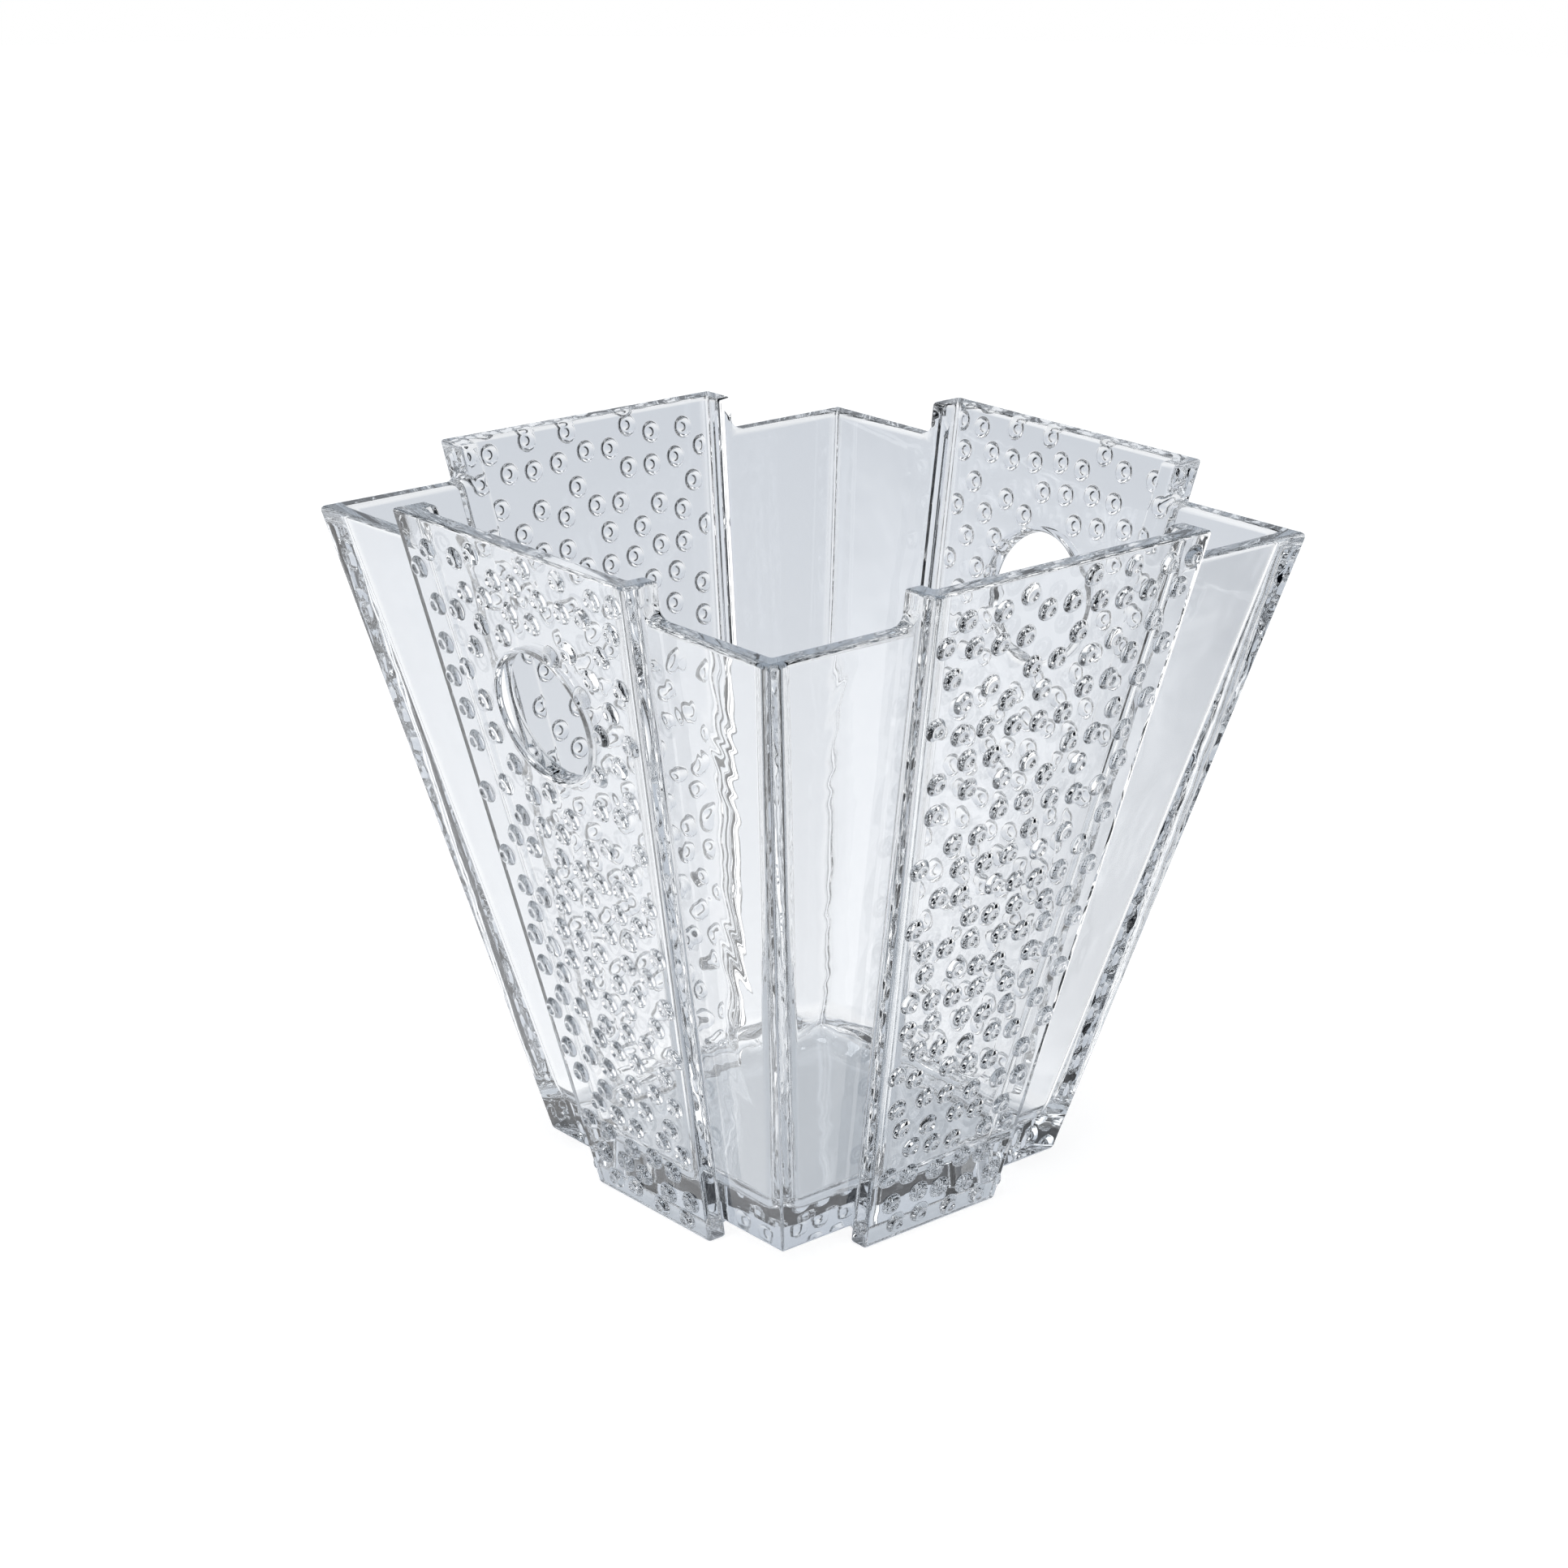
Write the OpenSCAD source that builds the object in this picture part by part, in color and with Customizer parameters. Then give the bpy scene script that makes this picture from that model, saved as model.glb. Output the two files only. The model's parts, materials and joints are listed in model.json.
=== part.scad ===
/* [Overall] */
// Height from the table to the tops of the panels
height = 200; // [150:1:260]
// Width across the faces of two opposite panels, at their tops
top_w = 204; // [170:1:260]
// Width across the faces of two opposite panels, at the table
foot_w = 109; // [90:1:140]

/* [Glass] */
// Thickness of the glass, square to a wall
wall = 6; // [4:0.5:8]
// Thickness of the solid base
base_t = 11; // [7:0.5:20]
// How far the panels' feet reach below the base and the corner walls
foot_rise = 6; // [2:0.5:10]

/* [Panels] */
// Width of a panel at its top
panel_top_w = 98; // [70:1:110]
// Width of a panel at the table
panel_foot_w = 49; // [36:1:60]
// How far a panel stands proud of the corner walls
panel_step = 5; // [3:0.5:6]

/* [Corners] */
// How far the corner rims lie below the tops of the panels
corner_drop = 10; // [6:0.5:20]
// Radius where a corner rim curves up into a panel's end
rim_fillet = 5; // [2:0.5:6]

/* [Hand holes] */
// Diameter of the two hand holes
hole_d = 36; // [25:1:44]
// Distance from the tops of the panels down to a hole's centre
hole_drop = 48; // [40:1:70]

/* [Beads] */
// Diameter of a bead
bead_d = 6.2; // [4:0.1:7.5]
// Height of a bead above the glass
bead_h = 1.4; // [0.8:0.1:2.2]
// Diameter of the dimple in a bead's top
dimple_d = 2.4; // [1.5:0.1:3]
// Depth of the dimple
dimple_t = 0.5; // [0.2:0.1:0.7]
// Least space between one bead and the next, at the table
foot_bead_gap = 0.9; // [0.4:0.1:8]
// Least space between one bead and the next, at the tops of the panels
top_bead_gap = 2.5; // [0.4:0.1:8]
// Least space between a bead and a panel's edge
edge_gap = 1.4; // [0.5:0.1:5]
// Least space between a bead and a hand hole
hole_gap = 2; // [1:0.5:6]
// Space beside the single bead on the end of a panel's foot
end_bead_gap = 0.2; // [0.1:0.1:0.6]

/* [Hidden] */

glass = "#dfe6ee";
lean = (top_w - foot_w) / 2 / height;                // outward run of a wall for each mm of height
lean_angle = atan(lean);
spread = (panel_top_w - panel_foot_w) / 2 / height;  // how fast a panel's edge runs outward
wall_run = wall / cos(lean_angle);                   // the wall's thickness, measured level
rim_z = height - corner_drop;
floor_z = foot_rise + base_t;
reach = top_w;                                       // longer than any piece is wide

hole_z = height - hole_drop;

slant = height / cos(lean_angle);                    // a panel's height, measured up its face
least_pitch = bead_d + min(foot_bead_gap, top_bead_gap);
tries_per_bead = 10;                                 // enough to leave no hole in the field
bead_tries = round(tries_per_bead * panel_top_w * slant / pow(least_pitch, 2));
end_bead_d = min(bead_d, panel_step - 2 * end_bead_gap);

// Level distance from the middle of the vase to a panel's face, a corner wall's face,
// and half a panel's width, each at height z
function panel_n(z) = foot_w / 2 + lean * z;
function corner_n(z) = panel_n(z) - panel_step;
function half_w(z) = panel_foot_w / 2 + spread * z;
function frac(v) = v - floor(v);

// A bar along Y, with its two long sides at x = lo(z) and x = hi(z)
module bar_y(lo, hi, z0, z1)
    rotate([90, 0, 0])
        linear_extrude(2 * reach, center = true)
            polygon([[lo(z0), z0], [hi(z0), z0], [hi(z1), z1], [lo(z1), z1]]);

// A bar along X, with its two long sides at y = lo(z) and y = hi(z)
module bar_x(lo, hi, z0, z1)
    rotate([90, 0, 90])
        linear_extrude(2 * reach, center = true)
            polygon([[lo(z0), z0], [hi(z0), z0], [hi(z1), z1], [lo(z1), z1]]);

// Turns a piece of the front side to the side that is n quarter turns on
module side(n)
    rotate([0, 0, 90 * n])
        children();

// Puts a piece on the front panel's face, u across and z up, its +Z square to the glass
module on_face(u, z)
    translate([u, -panel_n(z), z])
        rotate([90 + lean_angle, 0, 0])
            children();

// The front panel: a flat slab whose foot stands on the table
module panel_glass()
    intersection() {
        bar_x(function(z) -panel_n(z), function(z) wall_run - panel_n(z), 0, height);
        bar_y(function(z) -half_w(z), function(z) half_w(z), 0, height);
    }

module bored_panel_glass()
    difference() {
        panel_glass();
        on_face(0, hole_z) cylinder(d = hole_d, h = 4 * wall, center = true, $fn = 96);
    }

// The web behind the front panel's right edge, which ties the panel to the corner wall
module web_glass()
    intersection() {
        bar_x(
            function(z) wall_run - panel_n(z),
            function(z) wall_run - corner_n(z),
            foot_rise, height
        );
        bar_y(function(z) half_w(z) - wall, function(z) half_w(z), foot_rise, height);
    }

// The corner wall to the right of the front panel, as far as the corner's edge
module corner_wall() {
    intersection() {
        bar_x(function(z) -corner_n(z), function(z) wall_run - corner_n(z), foot_rise, rim_z);
        bar_y(function(z) half_w(z), function(z) corner_n(z), foot_rise, rim_z);
    }
    fillet_top = rim_z + rim_fillet;
    fillet_x = half_w(fillet_top) + rim_fillet;
    difference() {
        intersection() {
            bar_x(function(z) -corner_n(z), function(z) wall_run - corner_n(z), rim_z, fillet_top);
            bar_y(function(z) half_w(z), function(z) fillet_x, rim_z, fillet_top);
        }
        translate([fillet_x, 0, fillet_top])
            rotate([90, 0, 0])
                cylinder(r = rim_fillet, h = reach, $fn = 64);
    }
}

// The front right corner: two walls that meet in a sharp outer edge
module corner_glass() {
    corner_wall();
    mirror([1, 1, 0]) corner_wall();
}

// Half of the hollow's outline at the base: the square, and the bays behind two panels
module base_bay()
    intersection() {
        bar_x(
            function(z) wall_run - panel_n(z),
            function(z) panel_n(z) - wall_run,
            foot_rise, floor_z
        );
        bar_y(
            function(z) wall - half_w(z),
            function(z) half_w(z) - wall,
            foot_rise, floor_z
        );
    }

module base_square()
    intersection() {
        bar_x(
            function(z) wall_run - corner_n(z),
            function(z) corner_n(z) - wall_run,
            foot_rise, floor_z
        );
        bar_y(
            function(z) wall_run - corner_n(z),
            function(z) corner_n(z) - wall_run,
            foot_rise, floor_z
        );
    }

// One bead: a round button with a soft shoulder and a dimple
module bead(d) {
    shoulder = bead_h * 0.5;
    rim_r = (d + dimple_d) / 4;
    rotate_extrude($fn = 24)
        polygon([
            [0, 0],
            [d / 2, 0],
            [d / 2, bead_h - shoulder],
            [d / 2 - shoulder * 0.4, bead_h - shoulder * 0.3],
            [rim_r, bead_h],
            [dimple_d / 4, bead_h - dimple_t],
            [0, bead_h - dimple_t],
        ]);
}

// The beads are tried one by one at spots that step by a fixed share of the panel's width and
// height. A spot keeps its bead if it is on the glass and clear of the beads already there,
// and the space that it needs grows up the panel.
function spot(i) = [(frac(i * 0.7548777) - 0.5) * panel_top_w, frac(i * 0.5698403) * slant];
function from_hole(p) = norm([p[0], p[1] - hole_z / cos(lean_angle)]);
function on_glass(p, hole_r) =
    let (edge = bead_d / 2 + edge_gap)
    abs(p[0]) < half_w(p[1] * cos(lean_angle)) - edge
    && p[1] > edge
    && p[1] < slant - edge
    && (hole_r == 0 || from_hole(p) > hole_r + hole_gap + bead_d / 2);
function pitch_at(s) = bead_d + foot_bead_gap + (top_bead_gap - foot_bead_gap) * s / slant;
function clear_of(p, taken) = len([for (q = taken) if (norm(p - q) < pitch_at(p[1])) q]) == 0;
function scatter(i, taken, hole_r) =
    i > bead_tries ? taken
    : on_glass(spot(i), hole_r) && clear_of(spot(i), taken)
        ? scatter(i + 1, concat(taken, [spot(i)]), hole_r)
        : scatter(i + 1, taken, hole_r);

module bead_field(hole_r) {
    for (p = scatter(1, [], hole_r)) on_face(p[0], p[1] * cos(lean_angle)) bead(bead_d);
    for (s = [0, 1]) mirror([s, 0, 0]) end_bead();
}

// The single bead on the end of a panel's foot
module end_bead()
    translate([half_w(foot_rise), -panel_n(foot_rise) + panel_step / 2, foot_rise])
        rotate([0, 90 + atan(spread), 0])
            bead(end_bead_d);

module base_block() color(glass) {
    base_square();
    base_bay();
    side(1) base_bay();
}

module panel_front() color(glass) panel_glass();
module panel_right() color(glass) side(1) bored_panel_glass();
module panel_back() color(glass) side(2) panel_glass();
module panel_left() color(glass) side(3) bored_panel_glass();

module corner_front_right() color(glass) corner_glass();
module corner_back_right() color(glass) side(1) corner_glass();
module corner_back_left() color(glass) side(2) corner_glass();
module corner_front_left() color(glass) side(3) corner_glass();

module web_front_right() color(glass) web_glass();
module web_right_back() color(glass) side(1) web_glass();
module web_back_left() color(glass) side(2) web_glass();
module web_left_front() color(glass) side(3) web_glass();
module web_front_left() color(glass) mirror([1, 0, 0]) web_glass();
module web_right_front() color(glass) side(1) mirror([1, 0, 0]) web_glass();
module web_back_right() color(glass) side(2) mirror([1, 0, 0]) web_glass();
module web_left_back() color(glass) side(3) mirror([1, 0, 0]) web_glass();

module beads_front() color(glass) bead_field(0);
module beads_right() color(glass) side(1) bead_field(hole_d / 2);
module beads_back() color(glass) side(2) bead_field(0);
module beads_left() color(glass) side(3) bead_field(hole_d / 2);

base_block();
panel_front();
panel_right();
panel_back();
panel_left();
corner_front_right();
corner_back_right();
corner_back_left();
corner_front_left();
web_front_left();
web_front_right();
web_right_front();
web_right_back();
web_back_right();
web_back_left();
web_left_back();
web_left_front();
beads_front();
beads_right();
beads_back();
beads_left();
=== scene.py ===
import json
import math

import bmesh
import bpy
import numpy as np
from mathutils import Matrix, Vector
from mathutils.geometry import delaunay_2d_cdt


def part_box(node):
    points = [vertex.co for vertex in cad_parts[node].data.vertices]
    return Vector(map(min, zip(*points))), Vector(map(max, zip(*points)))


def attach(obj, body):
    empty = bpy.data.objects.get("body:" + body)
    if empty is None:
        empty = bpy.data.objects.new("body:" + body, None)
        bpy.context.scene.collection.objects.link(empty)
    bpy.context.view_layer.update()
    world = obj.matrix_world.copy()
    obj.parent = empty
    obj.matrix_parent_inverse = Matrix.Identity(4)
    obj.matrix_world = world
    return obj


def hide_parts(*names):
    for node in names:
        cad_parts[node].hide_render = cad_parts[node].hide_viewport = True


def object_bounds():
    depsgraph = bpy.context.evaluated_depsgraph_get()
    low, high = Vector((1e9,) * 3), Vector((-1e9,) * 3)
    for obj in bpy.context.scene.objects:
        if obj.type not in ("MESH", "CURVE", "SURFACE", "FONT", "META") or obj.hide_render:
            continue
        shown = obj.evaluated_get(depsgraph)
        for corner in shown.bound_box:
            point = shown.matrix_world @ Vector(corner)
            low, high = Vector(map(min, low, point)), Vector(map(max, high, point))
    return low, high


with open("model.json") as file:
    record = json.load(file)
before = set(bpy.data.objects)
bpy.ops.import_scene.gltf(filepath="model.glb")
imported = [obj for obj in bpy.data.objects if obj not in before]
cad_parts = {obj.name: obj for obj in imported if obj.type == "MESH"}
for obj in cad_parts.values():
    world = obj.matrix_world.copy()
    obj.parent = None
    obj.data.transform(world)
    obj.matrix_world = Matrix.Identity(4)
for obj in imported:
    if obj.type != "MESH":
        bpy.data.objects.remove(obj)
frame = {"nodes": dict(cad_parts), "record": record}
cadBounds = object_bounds()

mm = 0.001
heightSlack = 0.02 * mm               # a corner of the frame this close to a height is at it

# The kinds of face that the glass is built from
flatWall, outerFace, innerFace, rounded = range(4)

# How round the edges of the glass are, in metres; every other size comes from the frame
vaseGlass = {
    "rimFilletRound": 5.0 * mm,       # where a corner rim curves up into a panel's end
    "panelEdgeRound": 1.1 * mm,       # long outer edges of the four panels
    "panelTopRound": 1.1 * mm,        # outer edge of the panels' tops
    "innerRimRound": 1.3 * mm,        # inner edges of the panels' tops and of the webs' ends
    "cornerRimRound": 1.6 * mm,       # both edges of the corner rims
    "cornerEdgeRound": 0.7 * mm,      # the sharp outer corners
    "stepRound": 0.8 * mm,            # where a corner wall meets the end of a panel
    "webRound": 1.6 * mm,             # inner edges of the webs
    "bayRound": 2.8 * mm,             # hollow corners behind the panels
    "innerCornerRound": 3.0 * mm,     # hollow corners inside the vase
    "floorRound": 6.5 * mm,           # where the walls meet the floor
    "footRound": 1.1 * mm,            # edges of the four feet
    "undersideRound": 1.3 * mm,       # edges under the base
    "roundSteps": 5,
}

# The two hand holes
handHole = {
    "edgeRound": 1.6 * mm,
    "segments": 96,
    "roundSteps": 6,
}

# The beads: the outline runs from the glass to the middle of the dimple, as
# (radius, height) in millimetres, and the gaps set the scattered field
beadButton = {
    "diameter": 6.2 * mm,
    "segments": 32,
    "outline": [
        (3.38, 0.00), (3.24, 0.04), (3.14, 0.14), (3.07, 0.30), (2.97, 0.47), (2.80, 0.67),
        (2.60, 0.87), (2.38, 1.06), (2.16, 1.23), (1.98, 1.33), (1.81, 1.38), (1.64, 1.39),
        (1.49, 1.35), (1.31, 1.23), (1.08, 1.05), (0.84, 0.91), (0.56, 0.83), (0.28, 0.80),
    ],
    "middleHeight": 0.79,
    "footGap": 0.9 * mm,              # between one bead and the next, at the table
    "topGap": 2.5 * mm,               # and at the tops of the panels
    "edgeGap": 1.4 * mm,              # between a bead and a panel's edge
    "holeGap": 2.0 * mm,              # between a bead and a hand hole
    "acrossStep": 0.7548777,          # each try moves on by this share of the panel's width
    "upStep": 0.5698403,              # and this share of its height
    "triesPerBead": 10,               # enough to leave no gap in the field
}

# The single bead on each end of a panel's foot, sunk into the glass and then joined to it
footBead = {
    "diameter": 4.6 * mm,
    "sunk": 1.2 * mm,
    "sunkShare": 0.9,                 # how wide its buried end is, as a share of the diameter
    "heightShare": 0.9,               # its height, as a share of a panel bead's
    "outlineFrom": 2,                 # it leaves out the panel bead's curve into the glass
    "segments": 28,
}


def placed(name, data):
    thing = bpy.data.objects.new(name, data)
    bpy.context.scene.collection.objects.link(thing)
    return thing


def spanAt(node, axis, height):
    corners = frame["nodes"][node].data.vertices
    values = [v.co[axis] for v in corners if abs(v.co.z - height) < heightSlack]
    return min(values), max(values)


def between(valueLow, valueHigh):
    # a size that changes evenly from the table to the tops of the panels
    return lambda z: valueLow + (valueHigh - valueLow) * z / topZ


# Sizes read from the frame, each as it changes with height
topZ = cadBounds[1].z
footZ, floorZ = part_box("base_block")[0].z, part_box("base_block")[1].z
cornerTip = max((v.co for v in frame["nodes"]["corner_front_right"].data.vertices), key=lambda p: p.x - p.y)
rimZ = cornerTip.z
panelOut = between(-spanAt("panel_front", 1, 0)[0], -spanAt("panel_front", 1, topZ)[0])
panelIn = between(-spanAt("panel_front", 1, 0)[1], -spanAt("panel_front", 1, topZ)[1])
halfWide = between(spanAt("panel_front", 0, 0)[1], spanAt("panel_front", 0, topZ)[1])
wallRun = panelOut(0) - panelIn(0)
webWide = halfWide(topZ) - spanAt("web_front_right", 0, topZ)[0]
leanAngle = math.atan((panelOut(topZ) - panelOut(0)) / topZ)
wallThick = wallRun * math.cos(leanAngle)
panelStep = panelOut(rimZ) - cornerTip.x
holeMount = next(m for m in frame["record"]["mounts"] if m["name"] == "hand_hole_right")
holeRadius = holeMount["dims"]["r_mm"] * mm
holeSlant = (holeMount["pos_m"][2] - wallThick / 2 * math.sin(leanAngle)) / math.cos(leanAngle)
print("sizes read from the frame, top", round(topZ, 4), "rim", round(rimZ, 4), "step", round(panelStep, 4))


def cornerOut(z):
    return panelOut(z) - panelStep


def cornerIn(z):
    return panelOut(z) - panelStep - wallRun


def webSide(z):
    return halfWide(z) - webWide


def onSide(k, across, out, up):
    # a place on the side that is k quarter turns on from the front
    return Matrix.Rotation(k * math.pi / 2, 3, "Z") @ Vector((across, -out, up))


def onFace(k, across, slant, proud):
    # a place across panel k, up its slant, and square out from its outer face
    up = slant * math.cos(leanAngle) - proud * math.sin(leanAngle)
    out = panelOut(0) + slant * math.sin(leanAngle) + proud * math.cos(leanAngle)
    return onSide(k, across, out, up)


def addKinds(mesh):
    # an empty slot for each kind of face
    for _ in (flatWall, outerFace, innerFace, rounded):
        mesh.materials.append(None)


def vaseSkin():
    # the whole surface of the glass with sharp edges, and how round each edge becomes
    skin = bmesh.new()
    at = {}
    for k in range(4):
        for s in (-1, 1):
            for name, across, out, z in (
                ("footOut", halfWide, panelOut, 0), ("topOut", halfWide, panelOut, topZ),
                ("footIn", halfWide, panelIn, 0), ("underFoot", halfWide, panelIn, footZ),
                ("underStep", halfWide, cornerOut, footZ), ("rimStep", halfWide, cornerOut, rimZ),
                ("rimWeb", halfWide, cornerIn, rimZ), ("topWebEnd", halfWide, cornerIn, topZ),
                ("topWebIn", webSide, cornerIn, topZ), ("floorWebIn", webSide, cornerIn, floorZ),
                ("topBay", webSide, panelIn, topZ), ("floorBay", webSide, panelIn, floorZ),
            ):
                at[name, k, s] = skin.verts.new(onSide(k, s * across(z), out(z), z))
        for name, out, z in (
            ("underCorner", cornerOut, footZ), ("rimCorner", cornerOut, rimZ),
            ("rimInside", cornerIn, rimZ), ("floorInside", cornerIn, floorZ),
        ):
            at[name, k] = skin.verts.new(onSide(k, out(z), out(z), z))

    def face(kind, *names):
        skin.faces.new([at[n] for n in names]).material_index = kind

    for k in range(4):
        face(outerFace, ("footOut", k, -1), ("footOut", k, 1), ("topOut", k, 1), ("topOut", k, -1))
        face(innerFace, ("floorBay", k, -1), ("topBay", k, -1), ("topBay", k, 1), ("floorBay", k, 1))
        face(flatWall, ("footIn", k, -1), ("footIn", k, 1), ("underFoot", k, 1), ("underFoot", k, -1))
        face(flatWall, ("footOut", k, 1), ("footOut", k, -1), ("footIn", k, -1), ("footIn", k, 1))
        face(flatWall, *[(n, k, 1) for n in ("topOut", "topWebEnd", "topWebIn", "topBay")],
             *[(n, k, -1) for n in ("topBay", "topWebIn", "topWebEnd", "topOut")])
        for s in (-1, 1):
            corner = k if s == 1 else (k + 3) % 4
            face(flatWall, *[(n, k, s) for n in (
                "footOut", "footIn", "underFoot", "underStep", "rimStep", "rimWeb", "topWebEnd", "topOut",
            )])
            face(flatWall, *[(n, k, s) for n in ("floorWebIn", "topWebIn", "topBay", "floorBay")])
            face(flatWall, ("underStep", k, s), ("underCorner", corner),
                 ("rimCorner", corner), ("rimStep", k, s))
            face(flatWall, ("floorWebIn", k, s), ("floorInside", corner), ("rimInside", corner),
                 ("rimWeb", k, s), ("topWebEnd", k, s), ("topWebIn", k, s))
        n = (k + 1) % 4
        face(flatWall, ("rimStep", k, 1), ("rimCorner", k), ("rimStep", n, -1),
             ("rimWeb", n, -1), ("rimInside", k), ("rimWeb", k, 1))
    face(flatWall, *[n for k in range(4) for n in (("underStep", k, -1), ("underFoot", k, -1),
              ("underFoot", k, 1), ("underStep", k, 1), ("underCorner", k))])
    face(flatWall, *[n for k in range(4) for n in (("floorWebIn", k, -1), ("floorBay", k, -1),
              ("floorBay", k, 1), ("floorWebIn", k, 1), ("floorInside", k))])
    bmesh.ops.recalc_face_normals(skin, faces=skin.faces)

    widest = max(v for key, v in vaseGlass.items() if key.endswith("Round"))
    weight = skin.edges.layers.float.new("bevel_weight_edge")

    def soften(a, b, size):
        skin.edges.get((at[a], at[b]))[weight] = vaseGlass[size] / widest

    for k in range(4):
        soften(("topOut", k, -1), ("topOut", k, 1), "panelTopRound")
        soften(("topBay", k, -1), ("topBay", k, 1), "innerRimRound")
        soften(("floorBay", k, -1), ("floorBay", k, 1), "floorRound")
        soften(("footOut", k, -1), ("footOut", k, 1), "footRound")
        soften(("footIn", k, -1), ("footIn", k, 1), "footRound")
        soften(("underFoot", k, -1), ("underFoot", k, 1), "undersideRound")
        soften(("underCorner", k), ("rimCorner", k), "cornerEdgeRound")
        soften(("rimInside", k), ("floorInside", k), "innerCornerRound")
        for s in (-1, 1):
            corner = k if s == 1 else (k + 3) % 4
            for a, b, size in (
                ("footOut", "topOut", "panelEdgeRound"), ("topOut", "topWebEnd", "panelTopRound"),
                ("topWebEnd", "topWebIn", "innerRimRound"), ("topWebIn", "topBay", "innerRimRound"),
                ("topWebEnd", "rimWeb", "innerRimRound"), ("rimWeb", "rimStep", "rimFilletRound"),
                ("rimStep", "underStep", "stepRound"), ("underStep", "underFoot", "undersideRound"),
                ("underFoot", "footIn", "footRound"), ("footIn", "footOut", "footRound"),
                ("topWebIn", "floorWebIn", "webRound"), ("topBay", "floorBay", "bayRound"),
                ("floorWebIn", "floorBay", "floorRound"),
            ):
                soften((a, k, s), (b, k, s), size)
            soften(("underStep", k, s), ("underCorner", corner), "undersideRound")
            soften(("rimStep", k, s), ("rimCorner", corner), "cornerRimRound")
            soften(("rimWeb", k, s), ("rimInside", corner), "cornerRimRound")
            soften(("floorWebIn", k, s), ("floorInside", corner), "floorRound")

    mesh = bpy.data.meshes.new("vaseSkin")
    skin.to_mesh(mesh)
    skin.free()
    addKinds(mesh)
    return mesh, widest


def settled(thing):
    # the object's mesh with its modifiers worked in
    bpy.context.view_layer.update()
    mesh = bpy.data.meshes.new_from_object(thing.evaluated_get(bpy.context.evaluated_depsgraph_get()))
    thing.modifiers.clear()
    thing.data = mesh
    return mesh


def footBeads():
    # eight closed buttons, one on each end of every panel's foot
    buttons = bmesh.new()
    scale = footBead["diameter"] / beadButton["diameter"] * mm
    rings = [(footBead["diameter"] / 2 * footBead["sunkShare"], -footBead["sunk"])]
    for r, h in beadButton["outline"][footBead["outlineFrom"]:]:
        rings.append((r * scale, h * mm * footBead["heightShare"]))
    count = footBead["segments"]
    endTilt = math.atan((halfWide(topZ) - halfWide(0)) / topZ)
    for k in range(4):
        for s in (-1, 1):
            centre = onSide(k, s * halfWide(footZ), panelOut(footZ) - panelStep / 2, footZ)
            outward = onSide(k, s * math.cos(endTilt), 0, -math.sin(endTilt))
            first = outward.cross(Vector((0, 0, 1))).normalized()
            second = outward.cross(first)
            loops = []
            for radius, proud in rings:
                loops.append([buttons.verts.new(
                    centre + outward * proud
                    + radius * (first * math.cos(a) + second * math.sin(a))
                ) for a in [i * math.tau / count for i in range(count)]])
            tipHeight = beadButton["middleHeight"] * mm * footBead["heightShare"]
            tip = buttons.verts.new(centre + outward * tipHeight)
            buttons.faces.new(reversed(loops[0]))
            for low, high in zip(loops, loops[1:]):
                for i in range(count):
                    j = (i + 1) % count
                    buttons.faces.new((low[i], low[j], high[j], high[i]))
            for i in range(count):
                buttons.faces.new((loops[-1][i], loops[-1][(i + 1) % count], tip))
    bmesh.ops.recalc_face_normals(buttons, faces=buttons.faces)
    mesh = bpy.data.meshes.new("footBeads")
    buttons.to_mesh(mesh)
    buttons.free()
    addKinds(mesh)
    for p in mesh.polygons:
        p.material_index = rounded
    return mesh


def fieldSpots(bored):
    # each spot in turn keeps its bead if it is on the glass and clear of the beads before it
    size = beadButton
    edge = size["diameter"] / 2 + size["edgeGap"]
    leastPitch = size["diameter"] + min(size["footGap"], size["topGap"])
    width, slant = 2 * halfWide(topZ), topZ / math.cos(leanAngle)
    tries = round(size["triesPerBead"] * width * slant / leastPitch ** 2)
    clear = holeRadius + size["holeGap"] + size["diameter"] / 2
    kept = []
    for i in range(1, tries + 1):
        across = ((i * size["acrossStep"]) % 1 - 0.5) * width
        up = (i * size["upStep"]) % 1 * slant
        if abs(across) >= halfWide(up * math.cos(leanAngle)) - edge or not edge < up < slant - edge:
            continue
        if bored and math.hypot(across, up - holeSlant) <= clear:
            continue
        pitch = size["diameter"] + size["footGap"] + (size["topGap"] - size["footGap"]) * up / slant
        if all(math.hypot(across - a, up - u) >= pitch for a, u in kept):
            kept.append((across, up))
    return kept


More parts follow.
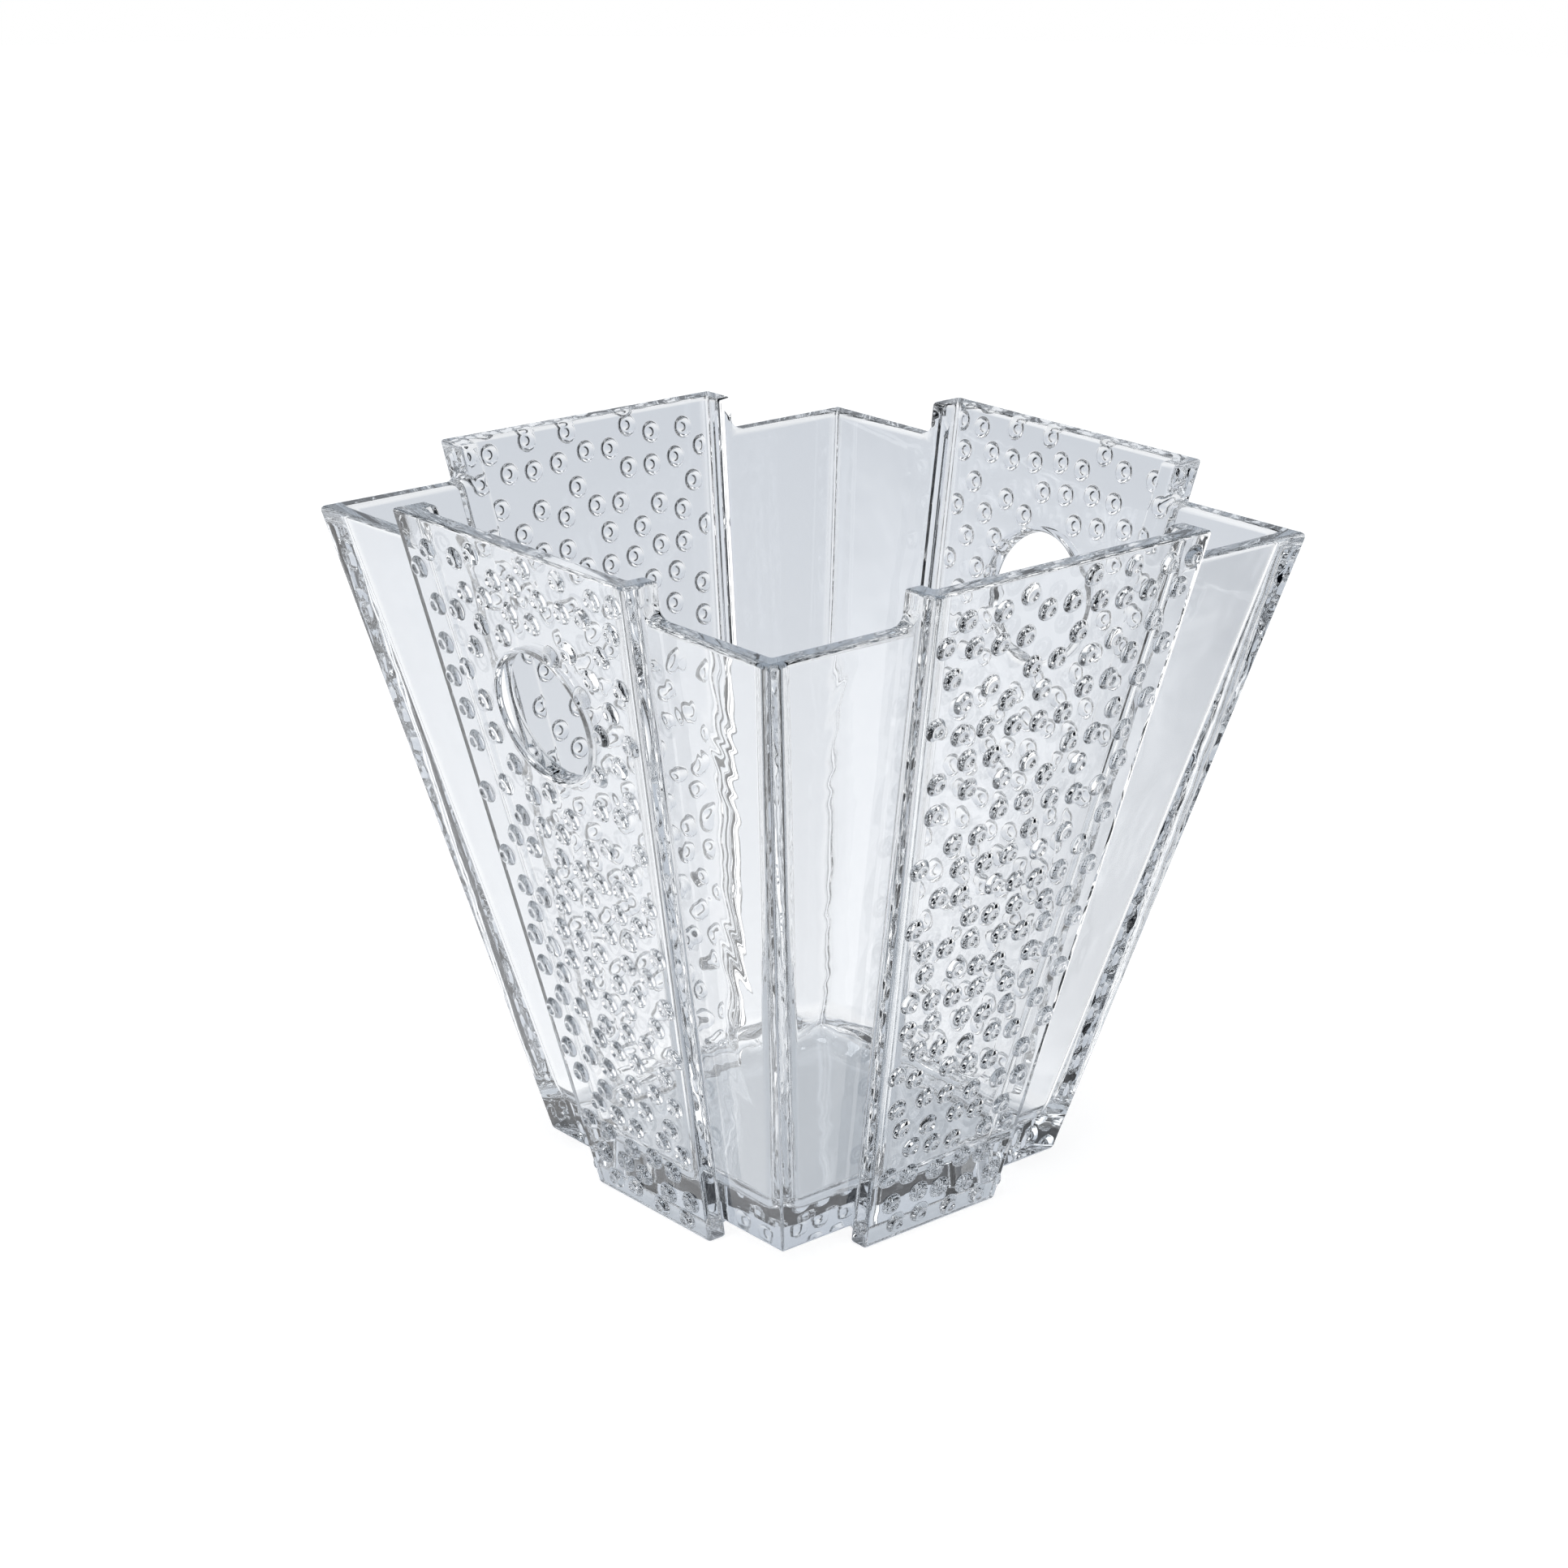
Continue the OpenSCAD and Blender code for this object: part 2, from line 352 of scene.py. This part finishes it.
class GlassSurface:
    # corners, faces and smooth directions of the finished glass, gathered piece by piece
    def __init__(self, mesh):
        self.corners = [v.co.copy() for v in mesh.vertices]
        self.directions = {}
        self.faces = []

    def addCorner(self, place, direction):
        self.corners.append(place)
        self.directions[len(self.corners) - 1] = direction.normalized()
        return len(self.corners) - 1

    def addLathe(self, k, across, slant, outline, count, tip=None):
        # rings turned about an axis square to panel k: radius, proud, and slope of the outline
        middle = onFace(k, across, slant, 0)
        outward = onFace(k, 0, 0, 1) - onFace(k, 0, 0, 0)
        turn = [i * math.tau / count for i in range(count)]
        rings = []
        for radius, proud, rise, run in outline:
            ring = []
            for a in turn:
                place = onFace(k, across + radius * math.cos(a), slant + radius * math.sin(a), proud)
                radial = (onFace(k, across + math.cos(a), slant + math.sin(a), 0) - middle)
                ring.append(self.addCorner(place, outward * run + radial * rise))
            rings.append(ring)
        for low, high in zip(rings, rings[1:]):
            for i in range(count):
                j = (i + 1) % count
                self.faces.append((low[i], low[j], high[j], high[i]))
        if tip is not None:
            top = self.addCorner(onFace(k, across, slant, tip), outward)
            for i in range(count):
                self.faces.append((rings[-1][i], rings[-1][(i + 1) % count], top))
        return rings

    def addPlate(self, k, border, rings, proud, centres):
        # the flat glass between the border and the rings, worked out in millimetres
        sameSpot = 1e-5
        openShare = 0.97       # a triangle is left out if its middle is within this share of a ring's area
        loops = [border] + rings
        flat, source, edges = [], [], []
        unturn = Matrix.Rotation(-k * math.pi / 2, 3, "Z")
        for loop in loops:
            start = len(flat)
            for index in loop:
                place = unturn @ self.corners[index]
                slant = (place.z + proud * math.sin(leanAngle)) / math.cos(leanAngle)
                flat.append(Vector((place.x / mm, slant / mm)))
                source.append(index)
            edges += [(start + i, start + (i + 1) % len(loop)) for i in range(len(loop))]
        spots, _, triangles, origins, _, _ = delaunay_2d_cdt(flat, edges, [], 0, sameSpot)
        openings = [(Vector((a / mm, u / mm)), (r / mm) ** 2) for a, u, r in centres]
        middles = np.array([(spots[a] + spots[b] + spots[c]) / 3 for a, b, c in triangles])
        skipped = np.zeros(len(triangles), bool)
        for centre, reach in openings:
            skipped |= ((middles - np.array(centre)) ** 2).sum(1) < reach * openShare
        for triangle, skip in zip(triangles, skipped):
            if skip:
                continue
            a, b, c = [source[origins[i][0]] for i in triangle]
            p, q, r = [spots[i] for i in triangle]
            anticlockwise = (q - p).cross(r - p) > 0
            if anticlockwise != (proud == 0):
                b, c = c, b
            self.faces.append((a, b, c))


def slopes(points):
    # each outline point as radius, height and the direction square to the outline there
    found = []
    for i, (radius, height) in enumerate(points):
        before, after = points[max(i - 1, 0)], points[min(i + 1, len(points) - 1)]
        inward, climb = before[0] - after[0], after[1] - before[1]
        found.append((radius, height, climb, inward))
    found[0] = (points[0][0], points[0][1], 0.0, 1.0)
    return found


def holeOutline():
    size, steps = handHole["edgeRound"], handHole["roundSteps"]
    turns = [i * math.pi / 2 / steps for i in range(steps + 1)]
    outer = [(holeRadius + size * (1 - math.sin(a)), -size * (1 - math.cos(a)), -math.sin(a), math.cos(a))
             for a in turns]
    inner = [(r, -wallThick - h, rise, -run) for r, h, rise, run in reversed(outer)]
    return outer + inner


def crystalMesh():
    sharp, widest = vaseSkin()
    body = placed("crystal_body", sharp)
    rounding = body.modifiers.new("rounded edges", "BEVEL")
    rounding.limit_method = "WEIGHT"
    rounding.offset_type = "OFFSET"
    rounding.width = widest
    rounding.segments = vaseGlass["roundSteps"]
    rounding.use_clamp_overlap = False
    rounding.material = rounded
    settled(body)
    print("edges rounded,", len(body.data.polygons), "faces")

    buttons = placed("foot_beads", footBeads())
    joining = body.modifiers.new("foot beads", "BOOLEAN")
    joining.operation = "UNION"
    joining.solver = "EXACT"
    joining.object = buttons
    settled(body)
    bpy.data.objects.remove(buttons)
    print("foot beads joined,", len(body.data.polygons), "faces")

    mesh = body.data
    glass = GlassSurface(mesh)
    fields = {False: fieldSpots(False), True: fieldSpots(True)}
    print("beads on a plain panel", len(fields[False]), "and on a bored one", len(fields[True]))
    scaled = [(r * mm, h * mm) for r, h in beadButton["outline"]]
    beadOutline = slopes(scaled)
    holeRings = {}
    for p in mesh.polygons:
        if p.material_index in (outerFace, innerFace):
            facing = 1 if p.material_index == outerFace else -1
            k = max(range(4), key=lambda n: facing * p.normal.dot(onSide(n, 0, 1, 0)))
            bored = k % 2 == 1
            proud = 0 if facing == 1 else -wallThick
            rings, centres = [], []
            if bored:
                if k not in holeRings:
                    holeRings[k] = glass.addLathe(k, 0, holeSlant, holeOutline(), handHole["segments"])
                rings.append(holeRings[k][0 if proud == 0 else -1])
                centres.append((0, holeSlant, holeRadius + handHole["edgeRound"]))
            if proud == 0:
                for across, slant in fields[bored]:
                    rings.append(glass.addLathe(k, across, slant, beadOutline, beadButton["segments"],
                                                beadButton["middleHeight"] * mm)[0])
                    centres.append((across, slant, scaled[0][0]))
            glass.addPlate(k, list(p.vertices), rings, proud, centres)
        else:
            glass.faces.append(tuple(p.vertices))
        if p.material_index != rounded:
            for index in p.vertices:
                glass.directions[index] = p.normal.copy()
    full = bpy.data.meshes.new("crystal_body")
    full.from_pydata(glass.corners, [], glass.faces)
    full.validate()
    full.shade_smooth()
    smooth = [glass.directions.get(i, v.normal.copy()) for i, v in enumerate(full.vertices)]
    full.normals_split_custom_set_from_vertices(smooth)
    body.data = full
    print("glass made,", len(full.vertices), "corners and", len(full.polygons), "faces")
    return body


# The glass itself: clear, a little cool where it is thick
crystal = {
    "tint": (1.0, 1.0, 1.0, 1.0),
    "ior": 1.53,
    "roughness": 0.0,
    "waves": 32.0,                            # soft unevenness of the pressed glass, waves for each metre
    "waveHeight": 0.22 * mm,
    "waveDetail": 2.0,
    "waveRoughness": 0.45,
    "waveDistortion": 0.6,
    "depthColour": (0.70, 0.74, 0.78, 1.0),   # what white turns towards in thick glass
    "depthStrength": 7.0,                     # how soon it does, for each metre
}


def crystalGlass():
    material = bpy.data.materials.new("crystal")
    material.use_nodes = True
    nodes, links = material.node_tree.nodes, material.node_tree.links
    shader = nodes["Principled BSDF"]
    shader.inputs["Base Color"].default_value = crystal["tint"]
    shader.inputs["Roughness"].default_value = crystal["roughness"]
    shader.inputs["IOR"].default_value = crystal["ior"]
    shader.inputs["Transmission Weight"].default_value = 1.0
    place = nodes.new("ShaderNodeTexCoord")
    wave = nodes.new("ShaderNodeTexNoise")
    wave.inputs["Scale"].default_value = crystal["waves"]
    wave.inputs["Detail"].default_value = crystal["waveDetail"]
    wave.inputs["Roughness"].default_value = crystal["waveRoughness"]
    wave.inputs["Distortion"].default_value = crystal["waveDistortion"]
    links.new(place.outputs["Object"], wave.inputs["Vector"])
    uneven = nodes.new("ShaderNodeBump")
    uneven.inputs["Strength"].default_value = 1.0
    uneven.inputs["Distance"].default_value = crystal["waveHeight"]
    links.new(wave.outputs[0], uneven.inputs["Height"])
    links.new(uneven.outputs[0], shader.inputs["Normal"])
    depth = nodes.new("ShaderNodeVolumeAbsorption")
    depth.inputs["Color"].default_value = crystal["depthColour"]
    depth.inputs["Density"].default_value = crystal["depthStrength"]
    links.new(depth.outputs[0], nodes["Material Output"].inputs["Volume"])
    return material


# The studio as the glass sees it; to the camera all of it is plain and pale. A window of light or
# a dark card is (name, middle around, half width, middle above, half height, softness, colour), and
# covers those before it. Angles are in degrees: around from straight behind the vase, above from level
studio = {
    "facing": 40.856,                         # turns "straight behind" to the camera's own line
    "white": (1.0, 1.0, 1.0, 1.0),
    "paper": (0.665, 0.705, 0.765, 1.0),      # what no window or card covers
    "paperGlow": 0.82,
    "paperShade": (0.5, 0.5, 0.5, 1.0),       # what falling light adds to the floor
    "floorRings": (0.3, 1.0, 2.5),
    "floorSegments": 64,
    "floorDrop": 0.2 * mm,
    # painted shadow: a grey glow on the floor beneath the vase stands in for its shade, seen only through
    # the glass
    "paintedShadowUnderVase": (0.50, 0.545, 0.60, 1.0),    # the shaded table beneath it, seen through the glass
    "shadeReach": 52 * mm,
    "shadeSoft": 12 * mm,
    "windows": [
        ("near paper", 0, 181, -70, 62, 26, (0.93, 0.95, 0.975)),
        ("dark behind and above", 0, 70, 54, 38, 10, (0.05, 0.053, 0.06)),
        ("dark room left", -142, 44, -20, 26, 4, (0.002, 0.003, 0.005)),
        ("dark room right", 140, 44, -28, 36, 4, (0.002, 0.003, 0.005)),
        ("right card low", 72, 24, -17, 25, 3, (0.002, 0.003, 0.005)),
        ("right glow", 78, 34, -54, 12, 4, (1.3, 1.3, 1.3)),
        ("right side glow", 92, 12, -38, 10, 4, (1.3, 1.3, 1.3)),
        ("right card", 96, 42, 24, 40, 4, (0.002, 0.003, 0.005)),
        ("left card", -98, 34, 36, 36, 4, (0.002, 0.003, 0.005)),
        ("left glow", -76, 24, -20, 26, 6, (1.5, 1.5, 1.5)),
        ("front soft box left", -146, 22, 46, 24, 6, (2.2, 2.2, 2.2)),
        ("front soft box right", 156, 20, 40, 18, 6, (1.5, 1.5, 1.5)),
        ("overhead", 0, 181, 86, 12, 4, (3.0, 3.0, 3.0)),
    ],
}


def worked(tree, operation, *sockets):
    # one step of arithmetic on the sockets
    step = tree.nodes.new("ShaderNodeMath")
    step.operation = operation
    for i, socket in enumerate(sockets):
        tree.links.new(socket, step.inputs[i])
    return step.outputs[0]


def mixed(tree, share, first, second):
    # two shaders, the second where the share is 1
    mix = tree.nodes.new("ShaderNodeMixShader")
    for i, socket in enumerate((share, first, second)):
        tree.links.new(socket, mix.inputs[i])
    return mix.outputs[0]


def floorPaper():
    material = bpy.data.materials.new("floor_paper")
    material.use_nodes = True
    tree = material.node_tree
    nodes, links = tree.nodes, tree.links
    nodes.clear()
    output = nodes.new("ShaderNodeOutputMaterial")

    # what the camera sees
    glow = nodes.new("ShaderNodeEmission")
    glow.inputs["Color"].default_value = studio["white"]
    glow.inputs["Strength"].default_value = studio["paperGlow"]
    matt = nodes.new("ShaderNodeBsdfDiffuse")
    matt.inputs["Color"].default_value = studio["paperShade"]
    seen = nodes.new("ShaderNodeAddShader")
    links.new(glow.outputs[0], seen.inputs[0])
    links.new(matt.outputs[0], seen.inputs[1])

    # what the glass sees: a painted shadow, a grey glow on the floor beneath the vase, and the studio
    # itself further out
    clear = nodes.new("ShaderNodeBsdfTransparent")
    shade = nodes.new("ShaderNodeEmission")
    shade.inputs["Color"].default_value = studio["paintedShadowUnderVase"]
    place = nodes.new("ShaderNodeNewGeometry")
    size = nodes.new("ShaderNodeVectorMath")
    size.operation = "ABSOLUTE"
    links.new(place.outputs["Position"], size.inputs[0])
    parts = nodes.new("ShaderNodeSeparateXYZ")
    links.new(size.outputs[0], parts.inputs[0])
    reach = worked(tree, "MAXIMUM", parts.outputs["X"], parts.outputs["Y"])
    fade = nodes.new("ShaderNodeMapRange")
    fade.interpolation_type = "SMOOTHSTEP"
    fade.inputs["From Min"].default_value = studio["shadeReach"]
    fade.inputs["From Max"].default_value = studio["shadeReach"] + studio["shadeSoft"]
    links.new(reach, fade.inputs["Value"])
    through = mixed(tree, fade.outputs[0], shade.outputs[0], clear.outputs[0])

    path = nodes.new("ShaderNodeLightPath")
    links.new(mixed(tree, path.outputs["Is Camera Ray"], through, seen.outputs[0]), output.inputs[0])
    return material


def floorSheet():
    sheet = bmesh.new()
    count = studio["floorSegments"]
    turn = [i * math.tau / count for i in range(count)]
    rings = [[sheet.verts.new((r * math.cos(a), r * math.sin(a), -studio["floorDrop"])) for a in turn]
             for r in studio["floorRings"]]
    sheet.faces.new(rings[0])
    for low, high in zip(rings, rings[1:]):
        for i in range(count):
            j = (i + 1) % count
            sheet.faces.new((low[i], high[i], high[j], low[j]))
    mesh = bpy.data.meshes.new("floor")
    sheet.to_mesh(mesh)
    sheet.free()
    mesh.materials.append(floorPaper())
    placed("floor", mesh)


def windowGroup():
    # a soft-edged rectangle of sky: 1 inside it, 0 outside
    group = bpy.data.node_groups.new("studioWindow", "ShaderNodeTree")
    for name in (
        "Around", "Above", "Middle Around", "Half Width", "Middle Above", "Half Height", "Softness",
    ):
        group.interface.new_socket(name, in_out="INPUT", socket_type="NodeSocketFloat")
    group.interface.new_socket("Mask", in_out="OUTPUT", socket_type="NodeSocketFloat")
    given, result = group.nodes.new("NodeGroupInput"), group.nodes.new("NodeGroupOutput")

    def side(value, middle, half):
        aside = worked(group, "SUBTRACT", given.outputs[value], given.outputs[middle])
        within = worked(group, "SUBTRACT", given.outputs[half], worked(group, "ABSOLUTE", aside))
        ramp = group.nodes.new("ShaderNodeMapRange")
        ramp.interpolation_type = "SMOOTHSTEP"
        ramp.inputs["From Min"].default_value = 0.0
        group.links.new(within, ramp.inputs["Value"])
        group.links.new(given.outputs["Softness"], ramp.inputs["From Max"])
        return ramp.outputs[0]

    mask = worked(group, "MULTIPLY", side("Around", "Middle Around", "Half Width"),
                  side("Above", "Middle Above", "Half Height"))
    group.links.new(mask, result.inputs[0])
    return group


def surroundings():
    world = bpy.data.worlds.new("studio")
    bpy.context.scene.world = world
    world.use_nodes = True
    tree = world.node_tree
    nodes, links = tree.nodes, tree.links
    nodes.clear()
    output = nodes.new("ShaderNodeOutputWorld")
    place = nodes.new("ShaderNodeTexCoord")
    facing = math.radians(studio["facing"])

    def along(direction):
        dot = nodes.new("ShaderNodeVectorMath")
        dot.operation = "DOT_PRODUCT"
        links.new(place.outputs["Generated"], dot.inputs[0])
        dot.inputs[1].default_value = direction
        return dot.outputs["Value"]

    def angle(operation, *sockets):
        return worked(tree, "DEGREES", worked(tree, operation, *sockets))

    aside = along((math.cos(facing), -math.sin(facing), 0))
    ahead = along((math.sin(facing), math.cos(facing), 0))
    around = angle("ARCTAN2", aside, ahead)
    above = angle("ARCSINE", along((0, 0, 1)))
    group = windowGroup()
    colour = None
    for name, *shape, light in studio["windows"]:
        window = nodes.new("ShaderNodeGroup")
        window.node_tree = group
        window.label = name
        links.new(around, window.inputs["Around"])
        links.new(above, window.inputs["Above"])
        for socket, value in zip(list(window.inputs)[2:], shape):
            socket.default_value = value
        blend = nodes.new("ShaderNodeMix")
        blend.data_type = "RGBA"
        links.new(window.outputs["Mask"], blend.inputs["Factor"])
        if colour is None:
            blend.inputs[6].default_value = studio["paper"]
        else:
            links.new(colour, blend.inputs[6])
        blend.inputs[7].default_value = (*light, 1.0)
        colour = blend.outputs[2]
    path = nodes.new("ShaderNodeLightPath")
    seen = nodes.new("ShaderNodeBackground")
    seen.inputs["Color"].default_value = studio["white"]
    lit = nodes.new("ShaderNodeBackground")
    links.new(colour, lit.inputs["Color"])
    sky = mixed(tree, path.outputs["Is Camera Ray"], lit.outputs[0], seen.outputs[0])
    links.new(sky, output.inputs[0])


# Where the camera stands: degrees round the vase, above it and rolled, and metres from the point
# that it looks at
viewpoint = {
    "around": -40.856,
    "above": 19.411,
    "tilt": 0.501,
    "away": 0.9598,
    "aimHeight": 0.11403,
    "aimAside": -0.00595,
    "lens": 79.57,                    # millimetres, as is the sensor
    "sensor": 36.0,
    "nearest": 0.05,
    "furthest": 20.0,
}


def setCamera():
    around, above = math.radians(viewpoint["around"]), math.radians(viewpoint["above"])
    level = math.cos(above)
    back = Vector((math.sin(around) * level, -math.cos(around) * level, math.sin(above)))
    right = Vector((0, 0, 1)).cross(back).normalized()
    up = back.cross(right)
    aim = right * viewpoint["aimAside"] + Vector((0, 0, viewpoint["aimHeight"]))
    tilt = math.radians(viewpoint["tilt"])
    x = right * math.cos(tilt) + up * math.sin(tilt)
    y = up * math.cos(tilt) - right * math.sin(tilt)
    data = bpy.data.cameras.new("camera")
    data.lens, data.sensor_width = viewpoint["lens"], viewpoint["sensor"]
    data.clip_start, data.clip_end = viewpoint["nearest"], viewpoint["furthest"]
    camera = placed("camera", data)
    place = aim + back * viewpoint["away"]
    camera.matrix_world = Matrix((
        (x.x, y.x, back.x, place.x), (x.y, y.y, back.y, place.y), (x.z, y.z, back.z, place.z), (0, 0, 0, 1),
    ))
    bpy.context.scene.camera = camera


# How often light is followed through and off the glass
lightBounces = {
    "max_bounces": 24,
    "transmission_bounces": 24,
    "glossy_bounces": 16,
}

setCamera()
print("camera placed")
body = crystalMesh()
body.data.materials.append(crystalGlass())
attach(body, "root")
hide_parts(*sorted(frame["nodes"]))
floorSheet()
surroundings()
print("floor and studio made,", len(studio["windows"]), "windows and cards")
scene = bpy.context.scene
scene.view_settings.view_transform = "Standard"
scene.cycles.use_denoising = True
for setting, count in lightBounces.items():
    setattr(scene.cycles, setting, count)
